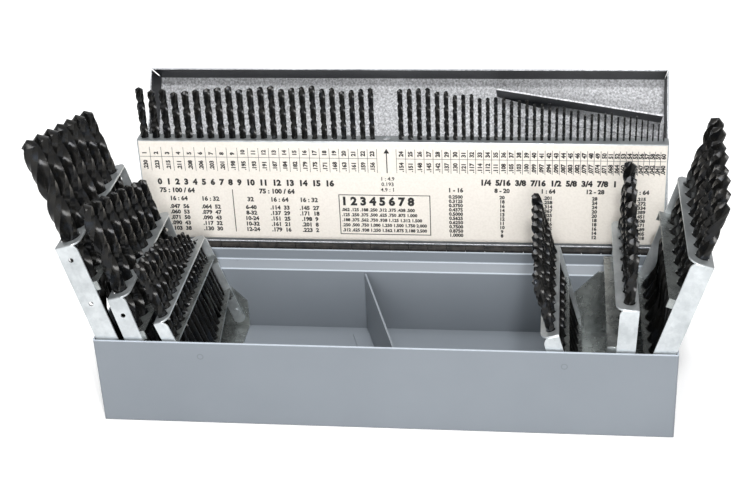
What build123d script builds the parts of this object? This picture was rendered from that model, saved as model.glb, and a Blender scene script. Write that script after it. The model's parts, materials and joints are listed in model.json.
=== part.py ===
"""Sheet-steel drill case: a tray, a hinged lid, six fold-down racks and a swing-out number index.

Units are millimetres. X runs along the case, Y from the front wall to the back, Z up.
The origin is on the underside of the tray, at the middle of its length and depth.
The case stands open: the lid leans back, the index stands upright and all six racks are raised.
"""
import os
from math import atan2, degrees, hypot, radians, tan

from build123d import *

INCH = 25.4

# ---- sheet and running clearances
SHEET = 1.0                 # painted sheet steel of the tray and the lid
RACK_SHEET = 1.2            # zinc-plated steel of racks, carriers and index
SIDE_GAP = 0.3              # play between a swinging end plate and the cheek beside it
PIVOT_PLAY = 0.06           # radial play of a pivot hole on its rivet
DRILL_PLAY = 0.25           # radial play of a drill in its hole

# ---- tray
TRAY_L = 375.0
TRAY_D = 127.0
TRAY_H = 63.0
TRAY_BEND = 1.6             # outside radius of the tray's bends
JOGGLE_IN = 4.0             # how far the lower back wall stands in front of the upper one
JOGGLE_TOP = 54.5
JOGGLE_LOW = 48.0

# ---- hinge
KNUCKLE_R = 2.6
HINGE_PIN_R = 1.2
HINGE_LEAF = 0.8
HINGE_LEAF_H = 7.0
KNUCKLE_PITCH = 14.0
KNUCKLE_GAP = 0.4
HINGE_STAND = 0.3           # the knuckles stand this far off the back wall
HINGE_ENDS = 5.0            # the hinge stops this far short of each end of the case

# ---- lid, drawn closed and turned open about the hinge pin
LID_DEPTH = 28.0
LID_OPEN = 125.0            # opening angle from closed
LID_SEAM = 1.2              # gap between the rims when the case is shut
CORNER_NOTCH = 2.4          # open mitre at the lid's free corners

# ---- divider
DIVIDER_H = 47.0
DIVIDER_FRONT_X = 13.0      # X of the sheet's front end
DIVIDER_BACK_X = -24.0
DIVIDER_FLANGE = 12.0
DIVIDER_MARGIN = 1.0        # gap from the divider's ends to the walls

# ---- rack carriers
EAR_H = 51.5                # height of the cheeks above the tray's floor
CARRIER_W = 75.0            # from the side wall to the inner edge
EAR_FLAT = 46.0             # length of the cheek's level top edge
EAR_LOW = 21.0              # height of the cheek at its inner edge
RIVET_R = 2.0
RIVET_HEAD_R = 3.0
RIVET_HEAD_T = 0.9

# ---- racks
RACK_CORNER = 7.0           # rounded inner corners at the ends of a top plate
RACK_FOOT_ROUND = 0.42      # rounding of an end plate's lower corners, as a share of its width
PEEP_R = 1.6                # round holes in the end plates of the left group
STOP_LIP = 6.5              # turned-down ends by which stops and guides are welded
END_MARGIN = 5.0            # from an end plate to the first hole's edge
STOP_TRIM = 1.4             # how much narrower a stop is than the top plate
HEAD_RELIEF = 0.4           # gap round a rivet head in the turned-down ends of a stop

# ---- number index, swung in the lid
INDEX_H = 80.5
INDEX_DEPTH = 10.5
INDEX_SIDE_PLAY = 0.8
INDEX_PIVOT_UP = 8.0        # pivot above the lid's hinged wall
INDEX_PIVOT_OFF = 13.0      # pivot in front of the lid's panel
INDEX_PIVOT_RISE = 5.0      # pivot above the index's lower edge
INDEX_ROW = 6.2             # drill line behind the index's front face
INDEX_LIP = 5.0
INDEX_GUIDE_DROP = 17.0     # guide plate below the top plate
INDEX_FIRST = 4.5           # first drill's centre from the index's left end
INDEX_LAST = 3.5            # last drill's centre from the right end
LABEL_T = 0.2
LABEL_SIDE = 1.0
LABEL_LOW = 3.0
SHELF_DROP_FIRST = 61.0     # shelf below the top at drill number 1
SHELF_DROP_MIDDLE = 39.0    # at drill number 24
SHELF_DROP_LAST = 28.0      # at drill number 60
EMPTY_HOLE_D = 4.9          # spare hole for a centre drill, after number 23
SPARE_ROOM = 3.1            # extra room on both sides of the spare hole

# ---- stop bracket in the lid, over the tips of the small drills
BRACKET_RUN = 118.0         # its length along X
BRACKET_FALL = 18.5         # how much lower its right end is
BRACKET_END_GAP = 2.5       # from its right end to the lid's side wall
BRACKET_TOP_GAP = 13.5      # from its left end to the lid's free wall
BRACKET_STAND = 25.0        # how far the upturned flange stands off the lid
BRACKET_BASE = 12.5         # width of the spot-welded flange

# ---- drills (standard inch sizes)
FRACTIONS_LARGE = [n / 64 * INCH for n in range(32, 25, -1)]
FRACTIONS_MEDIUM = [n / 64 * INCH for n in range(25, 17, -1)]
FRACTIONS_SMALL = [n / 64 * INCH for n in range(17, 3, -1)]
LETTERS_LARGE = [d * INCH for d in (.413, .404, .397, .386, .377, .368, .358, .348)]
LETTERS_MEDIUM = [d * INCH for d in (.339, .332, .323, .316, .302, .295, .290, .281)]
LETTERS_SMALL = [d * INCH for d in (.277, .272, .266, .261, .257, .250, .246, .242, .238, .234)]
NUMBERS = [d * INCH for d in (
    .2280, .2210, .2130, .2090, .2055, .2040, .2010, .1990, .1960, .1935,
    .1910, .1890, .1850, .1820, .1800, .1770, .1730, .1695, .1660, .1610,
    .1590, .1570, .1540, .1520, .1495, .1470, .1440, .1405, .1360, .1285,
    .1200, .1160, .1130, .1110, .1100, .1065, .1040, .1015, .0995, .0980,
    .0960, .0935, .0890, .0860, .0820, .0810, .0785, .0760, .0730, .0700,
    .0670, .0635, .0595, .0550, .0520, .0465, .0430, .0420, .0410, .0400)]
JOBBER_LENGTHS = [(.04, 1.625), (.052, 1.875), (.0635, 1.875), (.067, 2.0), (.076, 2.0), (.1015, 2.5),
                  (.118, 2.75), (.1285, 2.75), (.1875, 3.5), (.25, 4.0), (.5, 6.0)]
FLUTE_LENGTHS = [(.04, .6875), (.0625, .875), (.125, 1.625), (.1875, 2.3125), (.25, 2.75), (.5, 4.5)]
POINT_ANGLE = 118.0
BODY_RELIEF = 0.04          # share of the diameter ground off behind the margins
SHANK_BEVEL = 0.08          # chamfer at the shank's end, as a share of the diameter

# ---- values worked out from the sizes above
FLOOR_TOP = SHEET
FRONT_IN = -TRAY_D / 2 + SHEET
BACK_OUT = TRAY_D / 2
BACK_IN = BACK_OUT - JOGGLE_IN - SHEET
SIDE_IN = TRAY_L / 2 - SHEET
HINGE_Y = BACK_OUT + HINGE_STAND + KNUCKLE_R
HINGE_Z = TRAY_H + LID_SEAM / 2
LID_Z0 = TRAY_H + LID_SEAM
LID_TOP = LID_Z0 + LID_DEPTH
SPARE_AFTER = NUMBERS.index(0.1540 * INCH) + 1
EAR_FRONT = FRONT_IN + RACK_SHEET
EAR_BACK = BACK_IN - RACK_SHEET
RACK_FRONT = EAR_FRONT + SIDE_GAP
RACK_BACK = EAR_BACK - SIDE_GAP
CARRIER_TOP = FLOOR_TOP + RACK_SHEET


def interpolate(table, size):
    """Read a two-column table of inches between its rows and round to an eighth of an inch."""
    for (a, fa), (b, fb) in zip(table, table[1:]):
        if size <= b:
            return round((fa + (fb - fa) * (size - a) / (b - a)) * 8) / 8
    return table[-1][1]


def block(x0, x1, y0, y1, z0, z1):
    """A box from its two opposite corners."""
    return Pos((x0 + x1) / 2, (y0 + y1) / 2, (z0 + z1) / 2) * Box(x1 - x0, y1 - y0, z1 - z0)


def plate_xz(outline, y0, thickness):
    """A flat plate that stands across Y, from an outline of (x, z) points."""
    face = make_face(Polyline(*[(x, y0, z) for x, z in outline], close=True))
    return extrude(face, amount=thickness, dir=(0, 1, 0))


def plate_yz(outline, x0, thickness):
    """A flat plate that stands across X, from an outline of (y, z) points."""
    face = make_face(Polyline(*[(x0, y, z) for y, z in outline], close=True))
    return extrude(face, amount=thickness, dir=(1, 0, 0))


def rod(axis, start, radius, length):
    """A round rod along +X, +Y or +Z from its start point."""
    turn = {"x": Rot(0, 90, 0), "y": Rot(-90, 0, 0), "z": Rot(0, 0, 0)}[axis]
    return Pos(*start) * turn * Cylinder(radius, length, align=(Align.CENTER, Align.CENTER, Align.MIN))


def save(name, shape):
    """Write one sub-part; loose solids of one node go out as one compound."""
    solids = shape.solids()
    export_step(solids[0] if len(solids) == 1 else Compound(children=solids), f"parts/{name}.step")


def drill(diameter):
    """A jobber twist drill, shank end at the origin, point up."""
    length = interpolate(JOBBER_LENGTHS, diameter / INCH) * INCH
    flutes = interpolate(FLUTE_LENGTHS, diameter / INCH) * INCH
    radius = diameter / 2
    body = radius * (1 - BODY_RELIEF)
    cone = body / tan(radians(POINT_ANGLE / 2))
    bevel = SHANK_BEVEL * diameter
    outline = Polyline((0, 0, 0), (radius - bevel, 0, 0), (radius, 0, bevel), (radius, 0, length - flutes),
                       (body, 0, length - flutes + bevel), (body, 0, length - cone), (0, 0, length),
                       close=True)
    return revolve(make_face(outline), Axis.Z)


# ---------------------------------------------------------------- tray
def tray():
    """Folded box with a joggled back wall; the upper back stands behind the lower."""
    profile = [(-TRAY_D / 2, 0), (BACK_OUT - JOGGLE_IN, 0), (BACK_OUT - JOGGLE_IN, JOGGLE_LOW),
               (BACK_OUT, JOGGLE_TOP), (BACK_OUT, TRAY_H), (BACK_OUT - SHEET, TRAY_H),
               (BACK_OUT - SHEET, JOGGLE_TOP + SHEET / 2), (BACK_IN, JOGGLE_LOW + SHEET / 2),
               (BACK_IN, SHEET), (FRONT_IN, SHEET), (FRONT_IN, TRAY_H), (-TRAY_D / 2, TRAY_H)]
    walls = plate_yz(profile, -TRAY_L / 2, TRAY_L)
    side = profile[:5] + [profile[-1]]
    for x0 in (-TRAY_L / 2, SIDE_IN):
        walls += plate_yz(side, x0, SHEET)
    low = [e for e in walls.edges().filter_by(GeomType.LINE)
           if abs(e.center().Z) < 1e-6 and abs(e.center().Y) + 1e-6 > TRAY_D / 2 - JOGGLE_IN]
    low += [e for e in walls.edges().filter_by(Axis.Z)
            if e.center().Y < -TRAY_D / 2 + 1e-6 and abs(e.center().X) > TRAY_L / 2 - 1e-6]
    return fillet(low, TRAY_BEND)


# ---------------------------------------------------------------- divider
def divider():
    """Sheet set across the tray on a slant, with a spot-welded flange on its left."""
    y0 = FRONT_IN + DIVIDER_MARGIN
    y1 = BACK_IN - DIVIDER_MARGIN
    run = y1 - y0
    shift = DIVIDER_BACK_X - DIVIDER_FRONT_X
    slant = degrees(atan2(-shift, run))
    length = hypot(run, shift)
    sheet = block(-RACK_SHEET / 2, RACK_SHEET / 2, 0, length, 0, DIVIDER_H)
    sheet = fillet(sheet.edges().filter_by(Axis.X).group_by(Axis.Z)[-1], 2 * SHEET)
    flange = block(-DIVIDER_FLANGE, -RACK_SHEET / 2, DIVIDER_FLANGE / 2, length - DIVIDER_FLANGE / 2,
                   0, RACK_SHEET)
    trim = block(-TRAY_L / 2, TRAY_L / 2, y0, y1, 0, TRAY_H)
    return (Pos(DIVIDER_FRONT_X, y0, FLOOR_TOP) * Rot(0, 0, slant) * (sheet + flange)) & trim


# ---------------------------------------------------------------- racks
class Rack:
    """One folding rack; its own frame has the pivot at the origin and the drills along +Z."""

    def __init__(self, name, side, pivot_in, pivot_z, lean, reach, foot, width, end_width, sizes, stops,
                 drop, guide_over, peeps):
        self.name = name
        self.side = side                    # -1 left group, +1 right group
        self.pivot_in = pivot_in            # pivot from the outside of the side wall
        self.pivot_z = pivot_z
        self.lean = lean                    # outward lean from upright, degrees
        self.reach = reach                  # pivot to the upper face of the top plate
        self.foot = foot                    # pivot to the lower end of the end plates
        self.width = width
        self.end_width = end_width
        self.sizes = sizes                  # first size stands at the rack's leading end
        self.stops = stops                  # height of the stop over the pivot at both ends
        self.drop = drop                    # guide plate below the top plate
        self.guide_over = guide_over        # how far the guide stands out past the top plate
        self.peeps = peeps                  # round holes in the end plates, below the top plate

    def place(self, shape):
        """Stand a shape of the rack's own frame at the pivot, leaning outward."""
        turn = Rot(0, 0, 180) if self.side > 0 else Rot(0, 0, 0)
        x = self.side * (TRAY_L / 2 - self.pivot_in)
        return Pos(x, 0, self.pivot_z) * Rot(0, self.side * self.lean, 0) * turn * shape

    @property
    def span(self):
        """Front and back of the rack in its own frame; turned racks run the other way."""
        ends = (RACK_FRONT, RACK_BACK)
        return ends if self.side < 0 else (-RACK_BACK, -RACK_FRONT)

    def rows(self):
        """Diameter and Y of each drill, spread with equal gaps between the end plates."""
        y0, y1 = self.span
        first = y0 + RACK_SHEET + END_MARGIN
        last = y1 - RACK_SHEET - END_MARGIN
        gap = (last - first - sum(self.sizes)) / (len(self.sizes) - 1)
        y = first
        out = []
        for size in self.sizes:
            out.append((size, y + size / 2))
            y += size + gap
        return out

    def holes(self, z0, z1):
        """Clearance holes for the whole row between two heights."""
        return [rod("z", (0, y, z0), size / 2 + DRILL_PLAY, z1 - z0) for size, y in self.rows()]

    def frame(self):
        """Top plate with both ends turned down as end plates; inner side is +X here."""
        y0, y1 = self.span
        outer = -self.end_width / 2
        top = block(outer, outer + self.width, y0, y1, self.reach - RACK_SHEET, self.reach)
        top = fillet(top.edges().filter_by(Axis.Z).group_by(Axis.X)[-1], RACK_CORNER)
        top -= self.holes(self.reach - 2 * RACK_SHEET, self.reach + RACK_SHEET)
        plates = []
        for y in (y0, y1 - RACK_SHEET):
            low = -self.foot
            plate = plate_xz([(outer, low), (-outer, low), (-outer, self.reach), (outer, self.reach)],
                             y, RACK_SHEET)
            edges = plate.edges().filter_by(Axis.Y)
            plate = fillet(edges.group_by(Axis.Z)[0], RACK_FOOT_ROUND * self.end_width)
            corner = plate.edges().filter_by(Axis.Y).group_by(Axis.Z)[-1].sort_by(Axis.X)[-1]
            plate = fillet(corner, RACK_CORNER + self.end_width - self.width)
            plate -= rod("y", (0, y - RACK_SHEET, 0), RIVET_R + PIVOT_PLAY, 3 * RACK_SHEET)
            for peep in self.peeps:
                plate -= rod("y", (0, y - RACK_SHEET, self.reach - peep), PEEP_R, 3 * RACK_SHEET)
            plates.append(plate)
        body = top + plates
        fold = [e for e in body.edges().filter_by(Axis.X)
                if abs(e.center().Z - self.reach) < 1e-6]
        return fillet(fold, RACK_SHEET * 0.9)

    def shelf(self, z_lead, z_trail, thickness, width):
        """Strip between the end plates with its ends turned down for welding."""
        y0 = self.span[0] + RACK_SHEET
        y1 = self.span[1] - RACK_SHEET
        x0 = -self.end_width / 2
        outline = [(y0, z_lead), (y1, z_trail), (y1, z_trail - STOP_LIP), (y1 - thickness, z_trail - STOP_LIP),
                   (y1 - thickness, z_trail - thickness), (y0 + thickness, z_lead - thickness),
                   (y0 + thickness, z_lead - STOP_LIP), (y0, z_lead - STOP_LIP)]
        return plate_yz(outline, x0, width)

    def guide(self):
        """Drilled strip that keeps the drills in line below the top plate."""
        z = self.reach - self.drop
        strip = self.shelf(z, z, RACK_SHEET, self.width + self.guide_over)
        return strip - self.holes(z - STOP_LIP, z + STOP_LIP)

    def stop(self):
        """Strip under the shanks, relieved round the heads of the pivot rivets."""
        strip = self.shelf(self.stops[0], self.stops[1], RACK_SHEET, self.width - STOP_TRIM)
        reach = RIVET_HEAD_T + SIDE_GAP + HEAD_RELIEF
        for y in (self.span[0] + RACK_SHEET, self.span[1] - RACK_SHEET - reach):
            strip -= rod("y", (0, y, 0), RIVET_HEAD_R + HEAD_RELIEF, reach)
        return strip

    def stop_height(self, y):
        """Upper face of the stop under a drill."""
        y0 = self.span[0] + RACK_SHEET
        y1 = self.span[1] - RACK_SHEET
        return self.stops[0] + (self.stops[1] - self.stops[0]) * (y - y0) / (y1 - y0)

    def drills(self):
        """The row of drills, standing on the stop (on its high side where it slopes)."""
        slope = abs(self.stops[1] - self.stops[0]) / (self.span[1] - self.span[0])
        return [Pos(0, y, self.stop_height(y) + slope * size / 2) * drill(size)
                for size, y in self.rows()]

    def rivets(self):
        """A shouldered rivet through each cheek and end plate."""
        out = []
        for end, outward in ((self.span[0], -1), (self.span[1], 1)):
            cheek = end + outward * SIDE_GAP
            head = end - outward * (RACK_SHEET + SIDE_GAP)
            low, high = sorted((cheek + outward * RACK_SHEET, head - outward * RIVET_HEAD_T))
            shaft = rod("y", (0, low, 0), RIVET_R, high - low)
            low, high = sorted((head, head - outward * RIVET_HEAD_T))
            out.append(shaft + rod("y", (0, low, 0), RIVET_HEAD_R, high - low))
        return out


RACKS = [
    Rack("fraction_rack_large", -1, 13.0, 48.0, 15.0, 86.0, 7.0, 16.0, 14.2, FRACTIONS_LARGE, (4, 0),
         29.0, 1.0, (10.5, 43.5)),
    Rack("fraction_rack_medium", -1, 35.0, 31.0, 14.5, 65.0, 19.0, 14.4, 11.8, FRACTIONS_MEDIUM, (-1, -12),
         28.0, 0.0, (13.5,)),
    Rack("fraction_rack_small", -1, 67.0, 13.5, 19.0, 66.4, 9.0, 9.8, 8.5, FRACTIONS_SMALL, (0, 20),
         17.0, 0.0, (54.0,)),
    Rack("letter_rack_large", 1, 13.0, 48.0, 17.0, 82.0, 7.0, 15.6, 13.6, LETTERS_LARGE, (0, 0),
         29.0, 2.0, ()),
    Rack("letter_rack_medium", 1, 34.0, 31.0, 2.5, 62.5, 19.0, 14.4, 11.8, LETTERS_MEDIUM, (-8, -11.5),
         28.0, 3.0, ()),
    Rack("letter_rack_small", 1, 63.0, 13.5, -15.5, 61.5, 9.0, 11.8, 10.5, LETTERS_SMALL, (1, 1),
         26.0, 0.0, ()),
]


# ---------------------------------------------------------------- rack carriers
def carrier(side):
    """U-shaped bracket: a floor on the tray's floor and a chamfered cheek at each end."""
    wall = SIDE_IN
    inner = wall - CARRIER_W
    z0 = FLOOR_TOP
    top = z0 + EAR_H
    body = block(inner, wall, FRONT_IN, BACK_IN, z0, CARRIER_TOP)
    outline = [(wall, z0), (wall, top), (wall - EAR_FLAT, top), (inner, z0 + EAR_LOW), (inner, z0)]
    for y in (FRONT_IN, EAR_BACK):
        cheek = plate_xz(outline, y, RACK_SHEET)
        for rack in RACKS:
            if rack.side == side:
                x = TRAY_L / 2 - rack.pivot_in
                cheek -= rod("y", (x, y - RACK_SHEET, rack.pivot_z), RIVET_R, 3 * RACK_SHEET)
        body += cheek
    return body if side > 0 else mirror(body, about=Plane.YZ)


# ---------------------------------------------------------------- hinge
def knuckles():
    """Start and end of each knuckle along X; even ones belong to the tray's leaf."""
    length = TRAY_L - 2 * HINGE_ENDS
    count = int(length / KNUCKLE_PITCH) // 2 * 2 + 1
    pitch = length / count
    start = -length / 2
    return [(start + i * pitch + KNUCKLE_GAP / 2, start + (i + 1) * pitch - KNUCKLE_GAP / 2)
            for i in range(count)]


def hinge_leaf(first, downward):
    """Strip with every other knuckle rolled round the pin, drawn with the pin on the X axis."""
    way = -1 if downward else 1
    length = TRAY_L - 2 * HINGE_ENDS
    face = -KNUCKLE_R - HINGE_STAND
    gap = KNUCKLE_R + KNUCKLE_GAP
    low, high = sorted((way * gap, way * (gap + HINGE_LEAF_H)))
    leaf = block(-length / 2, length / 2, face, face + HINGE_LEAF, low, high)
    bore = HINGE_PIN_R + PIVOT_PLAY
    for x0, x1 in knuckles()[first::2]:
        tangent = sorted((0, way * gap))
        barrel = rod("x", (x0, 0, 0), KNUCKLE_R, x1 - x0)
        barrel += block(x0, x1, face, face + HINGE_LEAF, *tangent)
        leaf += barrel - rod("x", (x0 - 1, 0, 0), bore, x1 - x0 + 2)
    return leaf


# ---------------------------------------------------------------- lid and what it carries
def open_lid(shape):
    """Turn a shape of the closed lid's frame about the hinge pin to where the photograph has it."""
    return Pos(0, HINGE_Y, HINGE_Z) * Rot(-LID_OPEN, 0, 0) * Pos(0, -HINGE_Y, -HINGE_Z) * shape


def lid():
    """Shallow folded box with open corners at its free edge, drawn closed over the tray."""
    x0 = -TRAY_L / 2
    y0 = -TRAY_D / 2
    shell = block(x0, -x0, y0, -y0, LID_Z0, LID_TOP)
    shell -= block(x0 + SHEET, -x0 - SHEET, y0 + SHEET, -y0 - SHEET, LID_Z0 - 1, LID_TOP - SHEET)
    folds = [e for e in shell.edges() if abs(e.center().Z - LID_TOP) < 1e-6]
    shell = fillet(folds, TRAY_BEND)
    for side in (-1, 1):
        notch = Pos(side * TRAY_L / 2, y0, LID_Z0) * Rot(0, 0, side * 45) * Box(
            SHEET * 0.8, 3 * CORNER_NOTCH, 2 * (LID_DEPTH - 2 * CORNER_NOTCH))
        shell -= notch
    for side in (-1, 1):
        x, y, z = side * TRAY_L / 2, *lid_point(INDEX_PIVOT_UP, INDEX_PIVOT_OFF)
        shell -= rod("x", (x - 2 * SHEET, y, z), RIVET_R, 4 * SHEET)
    return shell


def lid_point(up, off):
    """Y and Z, with the lid closed, of a point so far from the hinged wall and off the panel."""
    return TRAY_D / 2 - SHEET - up, LID_TOP - SHEET - off


def stop_bracket():
    """Slanting angle strip spot-welded to the lid's panel above the small drills' tips."""
    length = hypot(BRACKET_RUN, BRACKET_FALL)
    base = block(0, length, 0, BRACKET_BASE, -RACK_SHEET, 0)
    flange = block(0, length, -RACK_SHEET, 0, -BRACKET_STAND, 0)
    x = TRAY_L / 2 - SHEET - BRACKET_END_GAP - BRACKET_RUN
    y, z = lid_point(TRAY_D - 2 * SHEET - BRACKET_TOP_GAP, 0)
    return Pos(x, y, z) * Rot(0, 0, degrees(atan2(BRACKET_FALL, BRACKET_RUN))) * (base + flange)


# ---------------------------------------------------------------- number index
INDEX_W = TRAY_L - 2 * SHEET - 2 * INDEX_SIDE_PLAY


def index_rows():
    """Diameter and X of the sixty number drills, and X of the spare hole."""
    widths = NUMBERS[:SPARE_AFTER] + [EMPTY_HOLE_D + 2 * SPARE_ROOM] + NUMBERS[SPARE_AFTER:]
    inner = sum(widths) - widths[0] / 2 - widths[-1] / 2
    gap = (INDEX_W - INDEX_FIRST - INDEX_LAST - inner) / (len(widths) - 1)
    x = -INDEX_W / 2 + INDEX_FIRST
    out = []
    for width, following in zip(widths, widths[1:] + [0]):
        out.append((width, x))
        x += width / 2 + gap + following / 2
    _, spare_x = out.pop(SPARE_AFTER)
    return out, (EMPTY_HOLE_D, spare_x)


def place_index(shape):
    """Stand a shape of the index's frame (pivot at the origin) on its pivot in the open lid."""
    y, z = lid_point(INDEX_PIVOT_UP, INDEX_PIVOT_OFF)
    pivot = Vector(0, y - HINGE_Y, z - HINGE_Z).rotate(Axis.X, -LID_OPEN)
    return Pos(0, HINGE_Y + pivot.Y, HINGE_Z + pivot.Z) * shape


INDEX_LOW = -INDEX_PIVOT_RISE
INDEX_TOP = INDEX_LOW + INDEX_H
INDEX_FACE = -INDEX_ROW                 # front face, the drill line being over the pivot
INDEX_BACK = INDEX_FACE + INDEX_DEPTH


def index_holes(z0, z1):
    """Clearance holes for the sixty drills and the spare hole between two heights."""
    rows, spare = index_rows()
    return [rod("z", (x, 0, z0), size / 2 + DRILL_PLAY, z1 - z0) for size, x in rows + [spare]]


def index_panel():
    """Front panel with its top, foot and both ends turned back."""
    half = INDEX_W / 2
    t = SHEET
    body = block(-half, half, INDEX_FACE, INDEX_FACE + t, INDEX_LOW, INDEX_TOP)
    body += block(-half, half, INDEX_FACE, INDEX_BACK, INDEX_TOP - t, INDEX_TOP)
    body += block(-half, half, INDEX_FACE, INDEX_FACE + INDEX_LIP, INDEX_LOW, INDEX_LOW + t)
    for side in (-1, 1):
        low, high = sorted((side * half, side * (half - t)))
        end = block(low, high, INDEX_FACE, INDEX_BACK, INDEX_LOW, INDEX_TOP)
        body += end
    for side in (-1, 1):
        body -= rod("x", (side * half - 2 * t, 0, 0), RIVET_R + PIVOT_PLAY, 4 * t)
    body -= index_holes(INDEX_TOP - 2 * t, INDEX_TOP + t)
    folds = [e for e in body.edges().filter_by(Axis.X)
             if abs(e.center().Y - INDEX_FACE) < 1e-6]
    return fillet(folds, t * 0.8)


def shelf_height(x):
    """Upper face of the sloping shelf at an X of the index."""
    rows, _ = index_rows()
    marks = [(rows[0][1], SHELF_DROP_FIRST), (rows[SPARE_AFTER][1], SHELF_DROP_MIDDLE),
             (rows[-1][1], SHELF_DROP_LAST)]
    (xa, da), (xb, db) = marks[:2] if x < marks[1][0] else marks[1:]
    return INDEX_TOP - (da + (db - da) * (x - xa) / (xb - xa))


def index_shelf():
    """Bent strip that the shanks stand on, fixed between the panel's ends."""
    half = INDEX_W / 2 - SHEET
    middle = index_rows()[0][SPARE_AFTER][1]
    top = [(-half, shelf_height(-half)), (middle, shelf_height(middle)), (half, shelf_height(half))]
    outline = top + [(x, z - SHEET) for x, z in reversed(top)]
    strip = plate_xz(outline, INDEX_FACE + SHEET, INDEX_DEPTH - SHEET)
    heel = top + [(x, z - INDEX_LIP) for x, z in reversed(top)]
    return strip + plate_xz(heel, INDEX_BACK - SHEET, SHEET)


def index_guide():
    """Drilled strip that keeps the drills upright below the top plate."""
    half = INDEX_W / 2 - SHEET
    z = INDEX_TOP - INDEX_GUIDE_DROP
    strip = block(-half, half, INDEX_FACE + SHEET, INDEX_BACK, z - SHEET, z)
    strip += block(-half, half, INDEX_FACE + SHEET, INDEX_FACE + 2 * SHEET, z - INDEX_LIP, z)
    return strip - index_holes(z - 2 * SHEET, z + SHEET)


def index_label():
    """Printed sheet on the front panel."""
    half = INDEX_W / 2 - LABEL_SIDE
    return block(-half, half, INDEX_FACE - LABEL_T, INDEX_FACE, INDEX_LOW + LABEL_LOW, INDEX_TOP - SHEET)


def index_drills():
    """Sixty number drills standing on the sloping shelf."""
    rows, _ = index_rows()
    out = []
    for size, x in rows:
        rise = max(shelf_height(x - size / 2), shelf_height(x + size / 2))
        out.append(Pos(x, 0, rise) * drill(size))
    return out


def index_rivets():
    """Pivot rivets through the lid's side walls and the index's ends."""
    out = []
    for side in (-1, 1):
        outer = side * TRAY_L / 2
        head = side * (INDEX_W / 2 - SHEET - SIDE_GAP)
        low, high = sorted((outer, head - side * RIVET_HEAD_T))
        shaft = rod("x", (low, 0, 0), RIVET_R, high - low)
        low, high = sorted((head, head - side * RIVET_HEAD_T))
        rivet = shaft + rod("x", (low, 0, 0), RIVET_HEAD_R, high - low)
        low, high = sorted((outer, outer + side * RIVET_HEAD_T))
        out.append(rivet + rod("x", (low, 0, 0), RIVET_HEAD_R, high - low))
    return out


# ---------------------------------------------------------------- write every sub-part
os.makedirs("parts", exist_ok=True)

save("base_tray", tray())
save("tray_divider", divider())
save("left_rack_carrier", carrier(-1))
save("right_rack_carrier", carrier(1))
at_pin = Pos(0, HINGE_Y, HINGE_Z)
save("hinge_tray_leaf", at_pin * hinge_leaf(0, True))
save("hinge_lid_leaf", open_lid(at_pin * hinge_leaf(1, False)))
save("hinge_pin", rod("x", (-TRAY_L / 2 + HINGE_ENDS, HINGE_Y, HINGE_Z), HINGE_PIN_R,
                      TRAY_L - 2 * HINGE_ENDS))
save("lid_shell", open_lid(lid()))
save("drill_stop_bracket", open_lid(stop_bracket()))
save("number_index_panel", place_index(index_panel()))
save("number_index_shelf", place_index(index_shelf()))
save("number_index_guide", place_index(index_guide()))
save("number_index_label", place_index(index_label()))
save("number_index_rivets", place_index(Compound(children=index_rivets())))
save("number_drills", place_index(Compound(children=index_drills())))
for rack in RACKS:
    save(f"{rack.name}_frame", rack.place(rack.frame()))
    save(f"{rack.name}_guide", rack.place(rack.guide()))
    save(f"{rack.name}_stop", rack.place(rack.stop()))
    save(f"{rack.name}_rivets", rack.place(Compound(children=rack.rivets())))
    save(f"{rack.name}_drills", rack.place(Compound(children=rack.drills())))
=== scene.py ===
"""An open sheet-steel drill case: tray, hinged lid, six fold-down racks and the number index.

Everything is in metres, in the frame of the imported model.
"""
import json
from math import cos, pi, radians, sin, tan
from random import Random

import bpy
from mathutils import Matrix, Vector


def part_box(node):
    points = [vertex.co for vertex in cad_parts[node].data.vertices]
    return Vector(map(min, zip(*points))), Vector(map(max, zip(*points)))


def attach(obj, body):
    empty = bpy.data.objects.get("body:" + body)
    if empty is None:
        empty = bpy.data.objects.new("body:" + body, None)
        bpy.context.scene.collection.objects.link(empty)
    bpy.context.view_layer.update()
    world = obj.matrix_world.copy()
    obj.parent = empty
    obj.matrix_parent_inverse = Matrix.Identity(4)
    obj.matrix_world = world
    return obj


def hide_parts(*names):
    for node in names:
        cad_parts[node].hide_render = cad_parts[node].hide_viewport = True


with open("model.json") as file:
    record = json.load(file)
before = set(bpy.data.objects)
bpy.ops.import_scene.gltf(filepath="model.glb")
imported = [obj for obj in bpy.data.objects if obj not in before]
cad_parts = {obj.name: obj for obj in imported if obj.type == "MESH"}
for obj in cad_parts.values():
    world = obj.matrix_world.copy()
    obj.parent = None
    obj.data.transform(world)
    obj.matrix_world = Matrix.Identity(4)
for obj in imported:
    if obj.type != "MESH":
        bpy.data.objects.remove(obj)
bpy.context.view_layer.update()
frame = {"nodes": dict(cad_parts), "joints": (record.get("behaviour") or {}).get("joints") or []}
nodes = frame["nodes"]
scene = bpy.context.scene
scene.view_settings.view_transform = "Standard"


# ------------------------------------------------------------------ camera
# The case is seen from in front, a little right of its middle and from above, through a longish
# lens held slightly askew.
CAMERA_AT = (0.1086, -0.8438, 0.5683)
CAMERA_YAW = radians(7.88)
CAMERA_DOWN = radians(28.87)
CAMERA_ROLL = radians(-2.78)
LENS_MM = 70.63
SENSOR_MM = 36.0

camera_data = bpy.data.cameras.new("camera")
camera_data.lens = LENS_MM
camera_data.sensor_width = SENSOR_MM
camera_data.clip_start = 0.01
camera = bpy.data.objects.new("camera", camera_data)
scene.collection.objects.link(camera)
aim = Matrix.Rotation(CAMERA_YAW, 4, "Z") @ Matrix.Rotation(pi / 2 - CAMERA_DOWN, 4, "X")
camera.matrix_world = Matrix.Translation(CAMERA_AT) @ aim @ Matrix.Rotation(CAMERA_ROLL, 4, "Z")
scene.camera = camera


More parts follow.
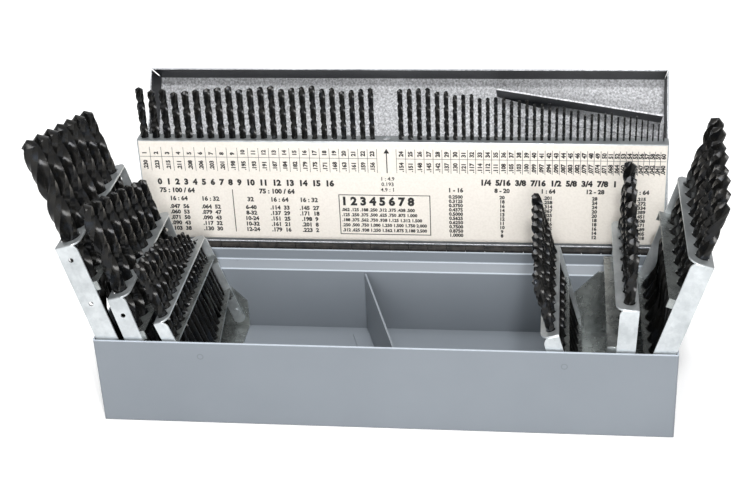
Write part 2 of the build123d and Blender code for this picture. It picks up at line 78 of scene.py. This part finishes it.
# ------------------------------------------------------------------ floor, backdrop and lamps
# A white sweep: the camera sees plain white with the case's shadow, while the metal and the paint
# see a dim room with light from above and in front, as under studio lamps.
FLOOR_SIZE = 6.0
FLOOR_WHITE = 0.95
FLOOR_GLOW = [(0.50, 0.30), (0.95, 1.0)]    # metres from the case and how far the paper burns out
FLOOR_SEEN_BY_METAL = 0.60
# height, 0 straight down to 1 straight up, and how bright the room is there
ROOM = [(0.42, 0.30), (0.52, 0.80), (0.64, 0.60), (0.86, 0.22)]
LAMPS = [
    # name, place, target, size, watts
    ("overhead", (-0.15, 0.05, 1.30), (0.0, 0.0, 0.05), 0.7, 11.0),
    ("front_soft", (0.15, -1.80, 0.65), (0.0, 0.05, 0.12), 0.8, 21.0),
    ("key", (0.26, -0.90, 1.30), (0.0, 0.05, 0.10), 0.14, 10.0),
]


def new_material(name):
    """A node material: itself, its node tree, its shader and a function that adds a node."""
    material = bpy.data.materials.new(name)
    material.use_nodes = True
    tree = material.node_tree

    def add(kind, **inputs):
        node = tree.nodes.new(kind)
        for key, value in inputs.items():
            if hasattr(node, key):
                setattr(node, key, value)
            else:
                node.inputs[key.replace("_", " ")].default_value = value
        return node
    return material, tree, tree.nodes["Principled BSDF"], add


def ramp(tree, source, stops):
    """A colour ramp over a value; stops are (position, grey or colour)."""
    node = tree.nodes.new("ShaderNodeValToRGB")
    while len(node.color_ramp.elements) < len(stops):
        node.color_ramp.elements.new(0.5)
    for element, (place, shade) in zip(node.color_ramp.elements, stops):
        element.position = place
        element.color = (*shade, 1) if isinstance(shade, tuple) else (shade, shade, shade, 1)
    tree.links.new(source, node.inputs["Fac"])
    return node.outputs["Color"]


half = FLOOR_SIZE / 2
floor_mesh = bpy.data.meshes.new("floor")
floor_mesh.from_pydata([(-half, -half, 0), (half, -half, 0), (half, half, 0), (-half, half, 0)],
                       [], [(0, 1, 2, 3)])
floor = bpy.data.objects.new("floor", floor_mesh)
scene.collection.objects.link(floor)

floor_paper, tree, shader, add = new_material("floor_paper")
path = add("ShaderNodeLightPath")
whiteness = ramp(tree, path.outputs["Is Camera Ray"], [(0, FLOOR_SEEN_BY_METAL), (1, FLOOR_WHITE)])
tree.links.new(whiteness, shader.inputs["Base Color"])
shader.inputs["Roughness"].default_value = 1.0
shader.inputs["Specular IOR Level"].default_value = 0.0
shader.inputs["Emission Color"].default_value = (1, 1, 1, 1)
reach = add("ShaderNodeVectorMath", operation="LENGTH")
tree.links.new(add("ShaderNodeTexCoord").outputs["Object"], reach.inputs[0])
glow = add("ShaderNodeMath", operation="MULTIPLY")
tree.links.new(ramp(tree, reach.outputs["Value"], FLOOR_GLOW), glow.inputs[0])
tree.links.new(path.outputs["Is Camera Ray"], glow.inputs[1])
tree.links.new(glow.outputs["Value"], shader.inputs["Emission Strength"])
floor_mesh.materials.append(floor_paper)

world = bpy.data.worlds.new("white_room")
scene.world = world
world.use_nodes = True
tree = world.node_tree
background = tree.nodes["Background"]
direction = tree.nodes.new("ShaderNodeTexCoord")
split = tree.nodes.new("ShaderNodeSeparateXYZ")
tree.links.new(direction.outputs["Generated"], split.inputs["Vector"])
height = tree.nodes.new("ShaderNodeMapRange")
height.inputs["From Min"].default_value = -1
tree.links.new(split.outputs["Z"], height.inputs["Value"])
room = ramp(tree, height.outputs["Result"], ROOM)
path = tree.nodes.new("ShaderNodeLightPath")
pick = tree.nodes.new("ShaderNodeMix")
pick.data_type = "RGBA"
tree.links.new(path.outputs["Is Camera Ray"], pick.inputs["Factor"])
tree.links.new(room, pick.inputs["A"])
pick.inputs["B"].default_value = (1, 1, 1, 1)
tree.links.new(pick.outputs["Result"], background.inputs["Color"])

for name, place, target, size, watts in LAMPS:
    lamp_data = bpy.data.lights.new(name, "AREA")
    lamp_data.shape = "SQUARE"
    lamp_data.size = size
    lamp_data.energy = watts
    lamp = bpy.data.objects.new(name, lamp_data)
    scene.collection.objects.link(lamp)
    lamp.location = place
    lamp.rotation_euler = (Vector(target) - Vector(place)).to_track_quat("-Z", "Y").to_euler()


MERGE_WITHIN = 1e-6
SHARP_FROM = radians(40)


def dress(name, material, bevel=0.0):
    """Give a CAD node its material, and round its sharp edges by a bevel where one is given."""
    piece = nodes[name]
    piece.data.materials.clear()
    piece.data.materials.append(material)
    if bevel:
        weld = piece.modifiers.new("weld", "WELD")
        weld.merge_threshold = MERGE_WITHIN
        soften = piece.modifiers.new("soften", "BEVEL")
        soften.width = bevel
        soften.segments = 2
        soften.limit_method = "ANGLE"
        soften.angle_limit = SHARP_FROM
        soften.harden_normals = False


# ------------------------------------------------------------------ painted case
# Tray and divider: folded sheet steel under blue-grey stove enamel with a fine
# orange peel. Two spot welds in the front wall get rings of painted shade where their dents are,
# and the folds and the rim get thin painted highlights.
ENAMEL = (0.200, 0.224, 0.252)
ENAMEL_PALE = (0.236, 0.262, 0.292)
WELD_DENT = (0.117, -0.0635, 0.0525)     # x on both sides, y, z
DENT_RADIUS = 0.0022
FOLD_HEIGHTS = (0.0486, 0.0550, 0.0630)  # the joggle's two folds and the rim, given painted highlights
FOLD_WIDTH = 0.00055
RIM_FROM = 0.06             # folds above this height run all round, those below only along
BACK_WALL_FROM = 0.056      # the back wall, which starts at this Y
FOLD_HIGHLIGHT_GAIN = 2.0             # how much paler than the paint a fold's painted highlight is
SHEET_BEVEL = 0.0003


def enamel(name, dark, pale, mottle, contrast, peel, peel_strength, roughness):
    """Sprayed enamel: two close tones in a mottle of a given size and a bumpy surface, with rings
    of painted shade at the weld dents and painted highlights along the folds.
    """
    material, tree, shader, add = new_material(name)
    place = add("ShaderNodeTexCoord").outputs["Object"]
    clouds = add("ShaderNodeTexNoise", Scale=mottle, Detail=4.0, Roughness=0.6)
    grain = add("ShaderNodeTexNoise", Scale=peel, Detail=2.0)
    for node in (clouds, grain):
        tree.links.new(place, node.inputs["Vector"])
    tone = ramp(tree, clouds.outputs["Fac"], [(0.5 - contrast, dark), (0.5 + contrast, pale)])
    # Painted shade: a darker ring round each spot weld stands for the shade in its dent.
    mirror = add("ShaderNodeVectorMath", operation="ABSOLUTE")
    tree.links.new(place, mirror.inputs[0])
    fold = add("ShaderNodeVectorMath", operation="MULTIPLY")
    tree.links.new(mirror.outputs["Vector"], fold.inputs[0])
    fold.inputs[1].default_value = (1, -1, 1)
    reach = add("ShaderNodeVectorMath", operation="DISTANCE")
    tree.links.new(fold.outputs["Vector"], reach.inputs[0])
    reach.inputs[1].default_value = WELD_DENT
    dent = add("ShaderNodeMath", operation="DIVIDE")
    tree.links.new(reach.outputs["Value"], dent.inputs[0])
    dent.inputs[1].default_value = 2 * DENT_RADIUS
    dent_shade_ring = ramp(tree, dent.outputs["Value"], [(0.30, 1.0), (0.42, 0.72), (0.54, 1.0)])
    shade = add("ShaderNodeMix", data_type="RGBA", blend_type="MULTIPLY")
    shade.inputs["Factor"].default_value = 1.0
    tree.links.new(tone, shade.inputs["A"])
    tree.links.new(dent_shade_ring, shade.inputs["B"])
    tone_with_painted_light = shade.outputs["Result"]
    # Painted highlights: thin paler lines along the folds and the rim stand for the light their
    # bends catch.
    height = add("ShaderNodeSeparateXYZ")
    tree.links.new(place, height.inputs["Vector"])
    for fold_height in FOLD_HEIGHTS:
        near = add("ShaderNodeMath", operation="COMPARE")
        tree.links.new(height.outputs["Z"], near.inputs[0])
        near.inputs[1].default_value = fold_height
        near.inputs[2].default_value = FOLD_WIDTH
        behind = add("ShaderNodeMath", operation="GREATER_THAN")
        tree.links.new(height.outputs["Y"], behind.inputs[0])
        behind.inputs[1].default_value = BACK_WALL_FROM if fold_height < RIM_FROM else -1.0
        both = add("ShaderNodeMath", operation="MULTIPLY")
        tree.links.new(near.outputs["Value"], both.inputs[0])
        tree.links.new(behind.outputs["Value"], both.inputs[1])
        line = add("ShaderNodeMix", data_type="RGBA")
        tree.links.new(both.outputs["Value"], line.inputs["Factor"])
        tree.links.new(tone_with_painted_light, line.inputs["A"])
        line.inputs["B"].default_value = (*(min(FOLD_HIGHLIGHT_GAIN * c, 0.9) for c in pale), 1)
        tone_with_painted_light = line.outputs["Result"]
    tree.links.new(tone_with_painted_light, shader.inputs["Base Color"])
    bump = add("ShaderNodeBump", Strength=peel_strength, Distance=0.0002)
    tree.links.new(grain.outputs["Fac"], bump.inputs["Height"])
    tree.links.new(bump.outputs["Normal"], shader.inputs["Normal"])
    shader.inputs["Roughness"].default_value = roughness
    return material


case_enamel = enamel("case_enamel", ENAMEL, ENAMEL_PALE, mottle=9.0, contrast=0.3, peel=900.0,
                     peel_strength=0.12, roughness=0.42)
for name in ("base_tray", "tray_divider"):
    dress(name, case_enamel, SHEET_BEVEL)


# ------------------------------------------------------------------ lid
# Lid and stop bracket: the panel's enamel is painted far paler than the tray's as a painted sheen
# from the lamps, over a coarse silvery grain; the walls inside are painted almost black as painted
# shade, and the outside is painted like the tray.
# Panel tones: a coarse grain between two tones, both painted paler than the tray's enamel as
# painted sheen.
LID_GRAIN_SHEEN_DARK = (0.32, 0.325, 0.34)
LID_GRAIN_SHEEN_PALE = (0.88, 0.89, 0.92)
LID_WALL_PAINTED_SHADE = (0.030, 0.033, 0.038)
PANEL_FACES = (0.0, -0.8192, 0.5736)     # direction the lid's panel faces
PANEL_RISES = (0.0, 0.5736, 0.8192)      # and the direction it rises in, away from the hinge
LID_HALF_INSIDE = 0.1870                 # the middle of each wall's sheet, measured across the lid
LID_PANEL_AT = -0.0460                   # and along those two directions
LID_HINGED_WALL_AT = 0.0936
LID_FREE_WALL_AT = 0.2196
LID_SHINE = 0.08                         # one level all over: the export drops a linked one

lid_enamel_sheen_shade = enamel("lid_enamel_sheen_shade", LID_GRAIN_SHEEN_DARK, LID_GRAIN_SHEEN_PALE, mottle=700.0, contrast=0.16, peel=800.0,
                    peel_strength=0.5, roughness=0.36)
tree = lid_enamel_sheen_shade.node_tree
shader = tree.nodes["Principled BSDF"]
coordinates = tree.nodes.new("ShaderNodeTexCoord")


def along(direction, socket="Object"):
    """How far a point of the lid lies, or its surface faces, along a direction."""
    node = tree.nodes.new("ShaderNodeVectorMath")
    node.operation = "DOT_PRODUCT"
    node.inputs[1].default_value = direction
    tree.links.new(coordinates.outputs[socket], node.inputs[0])
    return node.outputs["Value"]


def combine(operation, a, b):
    """A maths node over a socket and a socket or number."""
    node = tree.nodes.new("ShaderNodeMath")
    node.operation = operation
    tree.links.new(a, node.inputs[0])
    if isinstance(b, float):
        node.inputs[1].default_value = b
    else:
        tree.links.new(b, node.inputs[1])
    return node.outputs["Value"]


# Painted sheen and shade: faces turned like the panel keep the pale painted sheen, the other faces
# inside get near-black painted shade, and the outside gets the tray's enamel.
panel_sheen_or_wall_shade = ramp(tree, along(PANEL_FACES, "Normal"), [(0.45, 0.0), (0.8, 1.0)])
inside = combine("LESS_THAN", combine("ABSOLUTE", along((1.0, 0.0, 0.0)), 0.0), LID_HALF_INSIDE)
inside = combine("MULTIPLY", inside, combine("GREATER_THAN", along(PANEL_FACES), LID_PANEL_AT))
inside = combine("MULTIPLY", inside, combine("LESS_THAN", along(PANEL_RISES), LID_FREE_WALL_AT))
inside = combine("MULTIPLY", inside,
                 combine("GREATER_THAN", along(PANEL_RISES), LID_HINGED_WALL_AT))
paints = shader.inputs["Base Color"].links[0].from_socket
for mask, start in ((panel_sheen_or_wall_shade, LID_WALL_PAINTED_SHADE), (inside, ENAMEL)):
    choice = tree.nodes.new("ShaderNodeMix")
    choice.data_type = "RGBA"
    tree.links.new(mask, choice.inputs["Factor"])
    choice.inputs["A"].default_value = (*start, 1)
    tree.links.new(paints, choice.inputs["B"])
    paints = choice.outputs["Result"]
tree.links.new(paints, shader.inputs["Base Color"])
shader.inputs["Specular IOR Level"].default_value = LID_SHINE
for name in ("lid_shell", "drill_stop_bracket"):
    dress(name, lid_enamel_sheen_shade, SHEET_BEVEL)


# ------------------------------------------------------------------ hinge
# The piano hinge between tray and lid is painted near black as painted shade, for the shadowed gap
# it sits in, with a faint mottle.
HINGE_PAINTED_SHADE = (0.006, 0.006, 0.007)
HINGE_PAINTED_SHADE_PALE = (0.030, 0.027, 0.024)

hinge_steel, tree, shader, add = new_material("hinge_steel")
place = add("ShaderNodeTexCoord").outputs["Object"]
film = add("ShaderNodeTexNoise", Scale=240.0, Detail=3.0)
tree.links.new(place, film.inputs["Vector"])
# Painted shade: two near-black tones in a faint mottle.
tree.links.new(ramp(tree, film.outputs["Fac"], [(0.35, HINGE_PAINTED_SHADE), (0.7, HINGE_PAINTED_SHADE_PALE)]),
               shader.inputs["Base Color"])
shader.inputs["Roughness"].default_value = 0.45
shader.inputs["Specular IOR Level"].default_value = 0.15
for name in ("hinge_tray_leaf", "hinge_lid_leaf", "hinge_pin"):
    dress(name, hinge_steel)


# ------------------------------------------------------------------ zinc-plated steel
# Racks and the index panel are bright zinc plate with a faint spangle and cloudy stains; the
# carriers, guides and stops are a darker zinc. On both, faces that look up are darkened as a
# painted reflection of the dim room above.
SPANGLE_SCALE = 420.0
SPANGLE_SHARE = 0.12
ZINC_METALLIC = 0.75
ZINC_BEVEL = 0.00012
TOP_PAINTED_SHADE = 0.58              # painted reflection: faces that look up are darkened to this share
ZINCS = [
    # name, dark, pale, roughness from and to, nodes
    ("zinc_plate", (0.56, 0.60, 0.62), (0.80, 0.84, 0.86), (0.28, 0.44),
     ("_frame", "_panel", "_rivets")),
    ("zinc_dull", (0.27, 0.29, 0.29), (0.52, 0.55, 0.54), (0.20, 0.36),
     ("_guide", "_stop", "_carrier", "_shelf")),
]

for zinc_name, zinc_dark, zinc_pale, (sheen_low, sheen_high), endings in ZINCS:
    zinc, tree, shader, add = new_material(zinc_name)
    place = add("ShaderNodeTexCoord").outputs["Object"]
    spangle = add("ShaderNodeTexVoronoi", Scale=SPANGLE_SCALE)
    stain = add("ShaderNodeTexNoise", Scale=75.0, Detail=6.0, Roughness=0.62)
    for node in (spangle, stain):
        tree.links.new(place, node.inputs["Vector"])
    mix = add("ShaderNodeMix", data_type="FLOAT")
    mix.inputs["Factor"].default_value = SPANGLE_SHARE
    tree.links.new(stain.outputs["Fac"], mix.inputs["A"])
    tree.links.new(spangle.outputs["Color"], mix.inputs["B"])
    # Painted shade: darken the faces that look up, as a painted reflection of the dim room above.
    split = add("ShaderNodeSeparateXYZ")
    tree.links.new(add("ShaderNodeTexCoord").outputs["Normal"], split.inputs["Vector"])
    tops_painted_shade = add("ShaderNodeMix", data_type="RGBA", blend_type="MULTIPLY")
    tops_painted_shade.inputs["Factor"].default_value = 1.0
    tree.links.new(ramp(tree, mix.outputs["Result"], [(0.28, zinc_dark), (0.62, zinc_pale)]),
                   tops_painted_shade.inputs["A"])
    tree.links.new(ramp(tree, split.outputs["Z"], [(0.3, 1.0), (0.8, TOP_PAINTED_SHADE)]), tops_painted_shade.inputs["B"])
    tree.links.new(tops_painted_shade.outputs["Result"], shader.inputs["Base Color"])
    shader.inputs["Metallic"].default_value = ZINC_METALLIC
    tree.links.new(ramp(tree, stain.outputs["Fac"], [(0.3, sheen_low), (0.7, sheen_high)]),
                   shader.inputs["Roughness"])
    bump = add("ShaderNodeBump", Strength=0.08, Distance=0.0002)
    tree.links.new(stain.outputs["Fac"], bump.inputs["Height"])
    tree.links.new(bump.outputs["Normal"], shader.inputs["Normal"])
    for name in nodes:
        if name.endswith(endings):
            dress(name, zinc, ZINC_BEVEL)


# ------------------------------------------------------------------ twist drills
# Jobber drills of high-speed steel, black-oxide finished: round shank, two right-hand flutes and
# a ground point.
OXIDE = (0.012, 0.013, 0.015)
OXIDE_WARM = (0.020, 0.019, 0.017)
OXIDE_PALE = (0.026, 0.031, 0.040)
HELIX = radians(29)
LAND_END = radians(98)
MARGIN_END = radians(12)
WEB = 0.24
RELIEF = 0.955
POINT_HALF = radians(59)
SHANK_BEVEL = 0.16          # shares of the drill's radius: the bevel at its foot
FLUTE_RUN_OUT = 1.6         # and the length over which the flutes reach their depth
LIP_DROP = 0.22             # and how far the heel of the point lies below its lip
FINE_FROM = 0.002           # drills over this radius get the finer twist
FINE_TWIST = (0.26, 8)      # radians between rings, and points across a flute
COARSE_TWIST = (0.4, 5)

oxide, tree, shader, add = new_material("black_oxide")
place = add("ShaderNodeTexCoord").outputs["Object"]
clouds = add("ShaderNodeTexNoise", Scale=140.0, Detail=4.0)
tree.links.new(place, clouds.inputs["Vector"])
bloom = ramp(tree, clouds.outputs["Fac"], [(0.35, OXIDE), (0.55, OXIDE_WARM), (0.75, OXIDE_PALE)])
tree.links.new(bloom, shader.inputs["Base Color"])
shader.inputs["Metallic"].default_value = 0.5
tree.links.new(ramp(tree, clouds.outputs["Fac"], [(0.3, 0.17), (0.7, 0.27)]),
               shader.inputs["Roughness"])


def flute_section(flute_points):
    """Angle and share of the radius round half a drill: margin, relieved land, then the flute."""
    half_section = [(0, 1), (MARGIN_END, 1), (MARGIN_END + 0.02, RELIEF),
                    ((MARGIN_END + LAND_END) / 2, RELIEF), (LAND_END, RELIEF)]
    for i in range(1, flute_points):
        share = i / flute_points
        depth = sin(pi * share) ** 0.75
        half_section.append((LAND_END + (pi - LAND_END) * share, 1 - (1 - WEB) * depth))
    return half_section + [(angle + pi, share) for angle, share in half_section]


def twist_drill(length, flutes, radius, phase, step, flute_points):
    """Vertices and faces of one drill, shank end at the origin and point up."""
    section = flute_section(flute_points)
    count = len(section)
    bevel = SHANK_BEVEL * radius
    start = length - flutes
    top = length - radius / tan(POINT_HALF)
    twist = tan(HELIX) / radius
    rings = [(0, radius - bevel, 0, False), (bevel, radius, 0, False), (start, radius, 0, False)]
    turns = max(int((top - start) * twist / step), 4)
    for i in range(1, turns + 1):
        z = start + (top - start) * i / turns
        fade = min((z - start) / (FLUTE_RUN_OUT * radius), 1)
        rings.append((z, radius, fade, i == turns))
    verts = []
    for z, size, fade, is_point in rings:
        for angle, share in section:
            r = size * (1 - (1 - share) * fade)
            turn = angle + phase + twist * (z - start)
            height = z
            if is_point:
                lip = (angle % pi) / LAND_END
                height = length - r / tan(POINT_HALF) - LIP_DROP * r * min(lip, 1)
            verts.append((r * cos(turn), r * sin(turn), height))
    verts.append((0, 0, 0))
    verts.append((0, 0, length))
    faces = []
    last = len(rings) - 1
    for k in range(last):
        for j in range(count):
            a, b = k * count + j, k * count + (j + 1) % count
            faces.append((a, b, b + count, a + count))
    for j in range(count):
        k = (j + 1) % count
        faces.append((len(verts) - 2, k, j))
        faces.append((len(verts) - 1, last * count + j, last * count + k))
    return verts, faces


def loose_parts(mesh):
    """Groups of vertex places that hang together, one for each drill of a node."""
    parent = list(range(len(mesh.vertices)))

    def root(i):
        while parent[i] != i:
            parent[i] = parent[parent[i]]
            i = parent[i]
        return i
    seen = {}
    for v in mesh.vertices:
        key = tuple(round(c, 6) for c in v.co)
        if key in seen:
            parent[root(v.index)] = root(seen[key])
        else:
            seen[key] = v.index
    for edge in mesh.edges:
        parent[root(edge.vertices[0])] = root(edge.vertices[1])
    groups = {}
    for v in mesh.vertices:
        groups.setdefault(root(v.index), []).append(v.co.copy())
    return list(groups.values())


def measure_drills(name):
    """Foot, direction, length, flute length and radius of each drill of a CAD node."""
    joint = next(j for j in frame["joints"] if j["name"] == name + "_lift")
    up = -Vector(joint["axis"]).normalized()
    out = []
    for points in loose_parts(nodes[name].data):
        heights = sorted({round(p.dot(up), 5) for p in points})
        low = heights[0]
        foot = [p for p in points if p.dot(up) - low < 2e-5]
        centre = sum(foot, Vector()) / len(foot)
        length = heights[-1] - low
        radius = max(((p - centre) - up * (p - centre).dot(up)).length for p in points)
        at_full_radius = [p.dot(up) for p in points
                          if ((p - centre) - up * (p - centre).dot(up)).length > 0.995 * radius]
        shank = max(h for h in heights if h - low < 0.8 * length
                    and any(abs(level - h) < 2e-5 for level in at_full_radius))
        out.append((centre, up, length, length - (shank - low), radius))
    return out


drill_rows = {}
for row in [n for n in nodes if n.endswith("_drills")]:
    dice = Random(row)
    verts, faces = [], []
    drill_rows[row] = measure_drills(row)
    for centre, up, length, flutes, radius in drill_rows[row]:
        twist = FINE_TWIST if radius > FINE_FROM else COARSE_TWIST
        phase = dice.uniform(-0.5, 0.5)
        part_verts, part_faces = twist_drill(length, flutes, radius, phase, *twist)
        turn = up.to_track_quat("Z", "Y")
        first = len(verts)
        verts += [centre + turn @ Vector(v) for v in part_verts]
        faces += [tuple(first + i for i in f) for f in part_faces]
    mesh = bpy.data.meshes.new(row + "_twist")
    mesh.from_pydata(verts, [], faces)
    mesh.polygons.foreach_set("use_smooth", [True] * len(mesh.polygons))
    mesh.set_sharp_from_angle(angle=radians(38))
    mesh.materials.append(oxide)
    piece = bpy.data.objects.new(row + "_twist", mesh)
    scene.collection.objects.link(piece)
    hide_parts(row)
    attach(piece, row)


# ------------------------------------------------------------------ printed index label
# Cream card on the index panel. Its print is plain numbers: one column for each drill, ruled
# tables below, a framed block of figures and an arrow up to the spare hole.
CARD = (0.91, 0.86, 0.79)
CARD_SHADE = (0.86, 0.81, 0.74)
INK = (0.012, 0.012, 0.012)
INK_WORN = (0.05, 0.048, 0.045)
PRINT_LIFT = 0.00004
FIGURE_SHARE = 0.72         # height of a figure as a share of the font's size
HAIRLINE = 0.00030
MM = 0.001

card, tree, shader, add = new_material("label_card")
place = add("ShaderNodeTexCoord").outputs["Object"]
fibres = add("ShaderNodeTexNoise", Scale=650.0, Detail=3.0)
tree.links.new(place, fibres.inputs["Vector"])
tree.links.new(ramp(tree, fibres.outputs["Fac"], [(0.35, CARD_SHADE), (0.6, CARD)]),
               shader.inputs["Base Color"])
shader.inputs["Roughness"].default_value = 0.5
dress("number_index_label", card)

ink, tree, shader, add = new_material("label_ink")
place = add("ShaderNodeTexCoord").outputs["Object"]
wear = add("ShaderNodeTexNoise", Scale=900.0, Detail=2.0)
tree.links.new(place, wear.inputs["Vector"])
tree.links.new(ramp(tree, wear.outputs["Fac"], [(0.45, INK), (0.75, INK_WORN)]),
               shader.inputs["Base Color"])
shader.inputs["Roughness"].default_value = 0.6

label_low, label_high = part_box("number_index_label")
label_front = label_low[1] - PRINT_LIFT
print_verts, print_faces = [], []


def write(text, x, down, height, turned=False, align="CENTER", weight=0.012):
    """Add a string of figures; x is from the middle and down from the card's top, in metres."""
    data = bpy.data.curves.new("figures", "FONT")
    data.body = text
    data.size = height / FIGURE_SHARE
    data.align_x = align
    data.offset = weight * data.size
    data.resolution_u = 2
    holder = bpy.data.objects.new("figures", data)
    flat = bpy.data.meshes.new_from_object(holder)
    first = len(print_verts)
    for v in flat.vertices:
        u, w = (-v.co.y, v.co.x) if turned else (v.co.x, v.co.y)
        print_verts.append((x + u, label_front, label_high[2] - down + w))
    print_faces.extend(tuple(first + i for i in polygon.vertices) for polygon in flat.polygons)
    bpy.data.objects.remove(holder)
    bpy.data.curves.remove(data)
    bpy.data.meshes.remove(flat)


def patch(x0, x1, down0, down1):
    """Add a filled rectangle, such as a rule."""
    first = len(print_verts)
    top = label_high[2]
    for x, down in ((x0, down1), (x1, down1), (x1, down0), (x0, down0)):
        print_verts.append((x, label_front, top - down))
    print_faces.append((first, first + 1, first + 2, first + 3))


# one column for each drill: its number over its diameter in inches
ROW_TOP, ROW_RULE, ROW_END = 4.3 * MM, 11.7 * MM, 22.7 * MM
columns = sorted((centre.x, radius)
                 for centre, up, length, flutes, radius in drill_rows["number_drills"])
steps = [b[0] - a[0] for a, b in zip(columns, columns[1:])]
spare = max(range(len(steps)), key=lambda i: steps[i])
for i, (x, radius) in enumerate(columns):
    left = x - (steps[i - 1] if i and i - 1 != spare else steps[min(i, spare - 1)]) / 2
    right = x + (steps[i] if i < len(steps) and i != spare else steps[i - 1]) / 2
    if i:
        patch(left - HAIRLINE / 2, left + HAIRLINE / 2, ROW_TOP, ROW_END)
    if i == spare:
        patch(right - HAIRLINE / 2, right + HAIRLINE / 2, ROW_TOP, ROW_END)
    patch(max(left, label_low[0]), min(right, label_high[0]),
          ROW_RULE - HAIRLINE / 2, ROW_RULE + HAIRLINE / 2)
    height = min(3.0 * MM, 0.8 * (right - left))
    write(str(i + 1), x + height / 2, ROW_RULE - 1.7 * MM, height, True, "LEFT", 0.05)
    inches = f"{2 * radius / 0.0254:.3f}".lstrip("0")
    write(inches, x + height / 2, ROW_END - 1.0 * MM, height, True, "LEFT", 0.05)

# arrow up to the spare hole, with the hole's size
hole_x = (columns[spare][0] + columns[spare + 1][0]) / 2
patch(hole_x - 0.35 * MM, hole_x + 0.35 * MM, 7 * MM, 22.8 * MM)
first = len(print_verts)
for x, down in ((-2.0, 7.6), (2.0, 7.6), (0.0, 4.0)):
    print_verts.append((hole_x + x * MM, label_front, label_high[2] - down * MM))
print_faces.append((first, first + 1, first + 2))
for row, text in enumerate(("1 : 4.9", "0.193", "4.9 : 1")):
    write(text, hole_x, (28.6 + 4.3 * row) * MM, 2.9 * MM, weight=0.02)

# two ruled blocks at the left, ten rows at the right: thread pitches, drill numbers, diameters
LEFT_BLOCKS = [
    ((-182, -160, -136.7),
     [("0-80", 56, 52), ("1-72", 53, 47), ("2-56", 50, 43), ("4-40", 43, 32), ("5-40", 38, 30)]),
    ((-107.3, -86.3, -65),
     [("6-40", 33, 27), ("8-32", 29, 18), ("10-24", 25, 9), ("10-32", 21, 8), ("12-24", 16, 2)]),
]
inch_of = {i + 1: f"{2 * radius / 0.0254:.3f}".lstrip("0") for i, (x, radius) in enumerate(columns)}
write("0  1  2  3  4  5  6  7  8  9  10  11  12  13  14  15  16", -110 * MM, 33.5 * MM, 4.4 * MM,
      weight=0.06)
patch(-120.2 * MM, -119.6 * MM, 37.2 * MM, 71.3 * MM)
for places, rows in LEFT_BLOCKS:
    write("75 : 100 / 64", (places[1] + places[2] - 24) / 2 * MM, 39.9 * MM, 3.6 * MM, weight=0.05)
    for column, x in enumerate(places):
        write(("32", "16 : 64", "16 : 32")[column], x * MM, 46.4 * MM, 3.4 * MM, weight=0.045)
    for row, (pitch, tap, body) in enumerate(rows):
        down = (52.7 + 4.47 * row) * MM
        write(pitch, places[0] * MM, down, 3.1 * MM, weight=0.05)
        for x, drill in zip(places[1:], (tap, body)):
            write(f"{inch_of[drill]}  {drill}", x * MM, down, 3.1 * MM, weight=0.05)

RIGHT_COLUMNS = (40, 72.5, 104.4, 136.8, 168.8)
SIXTEENTHS = (4, 5, 6, 7, 8, 9, 10, 12, 14, 16)
COARSE = (20, 18, 16, 14, 13, 12, 11, 10, 9, 8)
FINE = (28, 24, 24, 20, 20, 18, 18, 16, 14, 12)
write("1/4  5/16  3/8  7/16  1/2  5/8  3/4  7/8  1", 104.5 * MM, 31.3 * MM, 4.2 * MM, weight=0.06)
for column, x in enumerate(RIGHT_COLUMNS):
    heading = ("1 - 16", "8 - 20", "1 : 64", "12 - 28", "1 : 64")[column]
    write(heading, x * MM, 37.0 * MM, 3.2 * MM, weight=0.05)
for row, (size, coarse, fine) in enumerate(zip(SIXTEENTHS, COARSE, FINE)):
    down = (42.0 + 3.4 * row) * MM
    inch = size / 16
    cells = (f"{inch:.4f}", str(coarse), f"{inch - 0.98 / coarse:.3f}".lstrip("0"), str(fine),
             f"{inch - 0.98 / fine:.3f}".lstrip("0"))
    for x, cell in zip(RIGHT_COLUMNS, cells):
        write(cell, x * MM, down, 2.6 * MM, weight=0.05)

# framed block of figures in the middle
BOX_LEFT, BOX_RIGHT, BOX_TOP, BOX_END = -43.4 * MM, 22 * MM, 40 * MM, 72 * MM
BOX_LINE = 0.6 * MM
patch(BOX_LEFT, BOX_RIGHT, BOX_TOP, BOX_TOP + BOX_LINE)
patch(BOX_LEFT, BOX_RIGHT, BOX_END - BOX_LINE, BOX_END)
patch(BOX_LEFT, BOX_LEFT + BOX_LINE, BOX_TOP, BOX_END)
patch(BOX_RIGHT - BOX_LINE, BOX_RIGHT, BOX_TOP, BOX_END)
write("1 2 3 4 5 6 7 8", BOX_LEFT + 1.8 * MM, BOX_TOP + 8.2 * MM, 6.3 * MM, align="LEFT",
      weight=0.055)
for row in range(5):
    figures = " ".join(f"{(row + 1) * n / 16:.3f}".lstrip("0") for n in range(1, 9))
    write(figures, BOX_LEFT + 1.8 * MM, BOX_TOP + (13.2 + 4.1 * row) * MM, 2.4 * MM, align="LEFT",
          weight=0.05)

print_mesh = bpy.data.meshes.new("index_print")
print_mesh.from_pydata(print_verts, [], print_faces)
print_mesh.materials.append(ink)
index_print = bpy.data.objects.new("index_print", print_mesh)
scene.collection.objects.link(index_print)
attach(index_print, "number_index")
